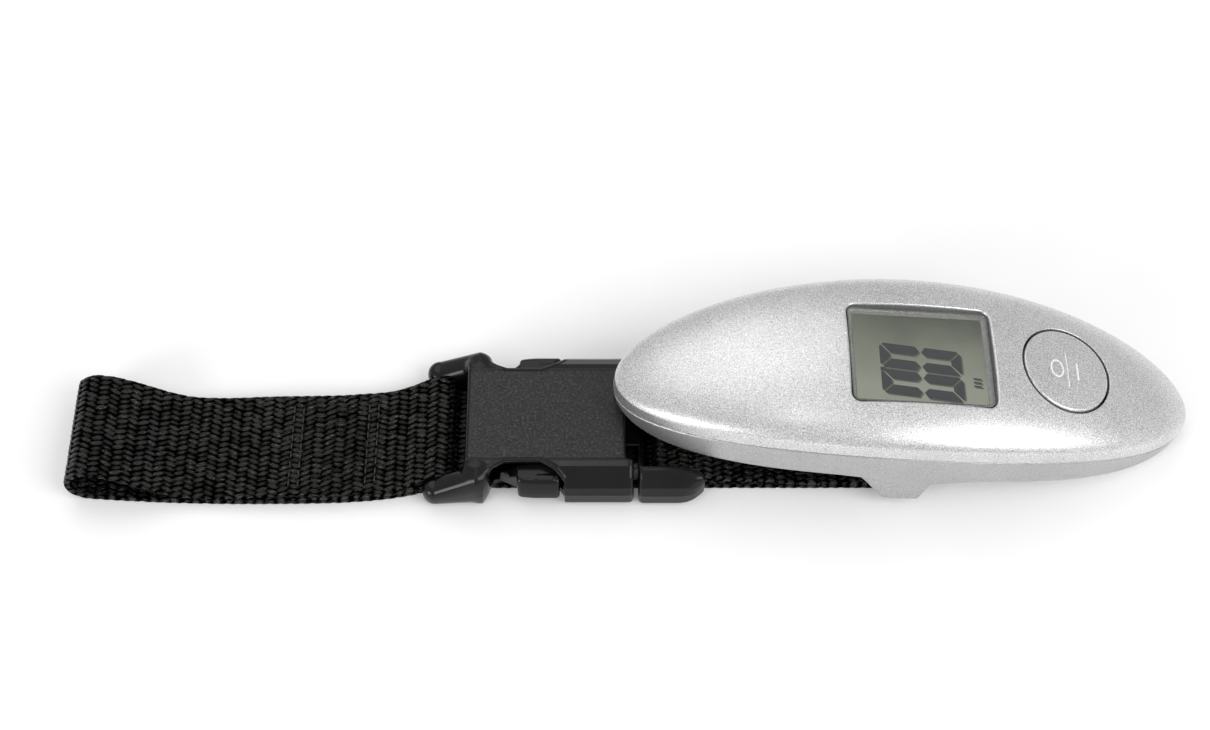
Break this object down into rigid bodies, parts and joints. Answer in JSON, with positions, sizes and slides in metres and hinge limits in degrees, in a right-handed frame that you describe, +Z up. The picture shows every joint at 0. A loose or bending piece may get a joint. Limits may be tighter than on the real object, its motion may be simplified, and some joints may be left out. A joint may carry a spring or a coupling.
{
  "type": "digital luggage scale",
  "caption": "Hand-held digital luggage scale: an oval arched handle with a display and a round button, and a webbing strap loop closed by a side-release buckle.",
  "frame": {"origin": "middle of the whole part's box, on the surface it lies on", "axes": "+X from the strap's end loop towards the handle's right tip, +Z up from the table, +Y to the far side of the handle"},
  "size_m": [0.2398, 0.042, 0.0305],
  "materials": {
    "silver_shell": "metallic silver paint, satin with a fine sparkle",
    "silver_lower": "metallic silver paint, slightly plainer",
    "clear_lens": "clear moulded window, polished",
    "lcd": "olive grey-green liquid crystal glass with dark segments",
    "holder_plastic": "black moulded frame",
    "zebra_rubber": "striped elastomer",
    "board": "green solder mask",
    "chip_epoxy": "black epoxy",
    "ceramic": "ceramic capacitor",
    "switch_metal": "stamped steel can",
    "switch_stem": "black nylon",
    "zinc_steel": "zinc plated screw",
    "load_cell_metal": "machined",
    "gauge_foil": "polyimide foil gauge under clear coat",
    "wire_insulation": "thin insulated wire",
    "shackle_steel": "bent strip",
    "pin_steel": "ground pin",
    "cell_steel": "coin cell can",
    "contact_brass": "sprung contact strip",
    "webbing": "black coarse woven webbing",
    "thread": "black bonded thread",
    "buckle_plastic": "charcoal acetal, fine grain with glossier rails"
  },
  "bodies": {
    "scale_body": {"top_cover": "silver_shell", "bottom_cover": "silver_lower", "display_lens": "clear_lens", "lcd_panel": "lcd", "lcd_holder": "holder_plastic", "zebra_connector": "zebra_rubber", "circuit_board": "board", "controller_chip": "chip_epoxy", "board_capacitors": "ceramic", "button_switch": "switch_metal", "board_screws": "zinc_steel", "case_screws": "zinc_steel", "load_cell": "load_cell_metal", "load_cell_screws": "zinc_steel", "strain_gauges": "gauge_foil", "load_cell_wires": "wire_insulation", "shackle": "shackle_steel", "shackle_pin": "pin_steel", "battery_cell": "cell_steel", "battery_contact_positive": "contact_brass", "battery_contact_negative": "contact_brass", "strap_anchor_loop": "webbing"},
    "button": {"on_off_button": "silver_shell", "switch_plunger": "switch_stem"},
    "door": {"battery_door": "silver_lower"},
    "strap": {"strap_bend": "webbing", "strap_lower_run": "webbing", "strap_lower_left": "webbing", "strap_end_loop": "webbing", "strap_upper_run": "webbing", "strap_short_strand": "webbing", "strap_stitching": "thread", "buckle_socket": "buckle_plastic"},
    "plug": {"buckle_plug": "buckle_plastic"},
    "latch_near": {"latch_arm_near": "buckle_plastic"},
    "latch_far": {"latch_arm_far": "buckle_plastic"}
  },
  "joints": [
    {"name": "button_press", "type": "slide", "parent": "scale_body", "child": "button", "axis": [-0.1045, 0, -0.9945], "range_m": [0, 0.0006], "stiffness_N_per_m": 900},
    {"name": "battery_door_swing", "type": "hinge", "parent": "scale_body", "child": "door", "pos_m": [0.07909, 0, 0.00785], "axis": [0, 1, 0], "range_deg": [0, 80]},
    {"name": "strap_swing", "type": "hinge", "parent": "scale_body", "child": "strap", "pos_m": [0.05684, 0, 0.0018], "axis": [0, -1, 0], "range_deg": [0, 110], "deforming": ["strap_bend"]},
    {"name": "buckle_release", "type": "slide", "parent": "strap", "child": "plug", "axis": [1, 0, 0], "range_m": [0, 0.028], "deforming": ["strap_short_strand", "latch_arm_near", "latch_arm_far"]},
    {"name": "latch_near_squeeze", "type": "hinge", "parent": "plug", "child": "latch_near", "pos_m": [-0.00016, -0.0154, 0.00605], "axis": [0, 0, -1], "range_deg": [0, 7], "stiffness_Nm_per_rad": 1.2},
    {"name": "latch_far_squeeze", "type": "hinge", "parent": "plug", "child": "latch_far", "pos_m": [-0.00016, 0.0074, 0.00605], "axis": [0, 0, 1], "range_deg": [0, 7], "stiffness_Nm_per_rad": 1.2}
  ]
}
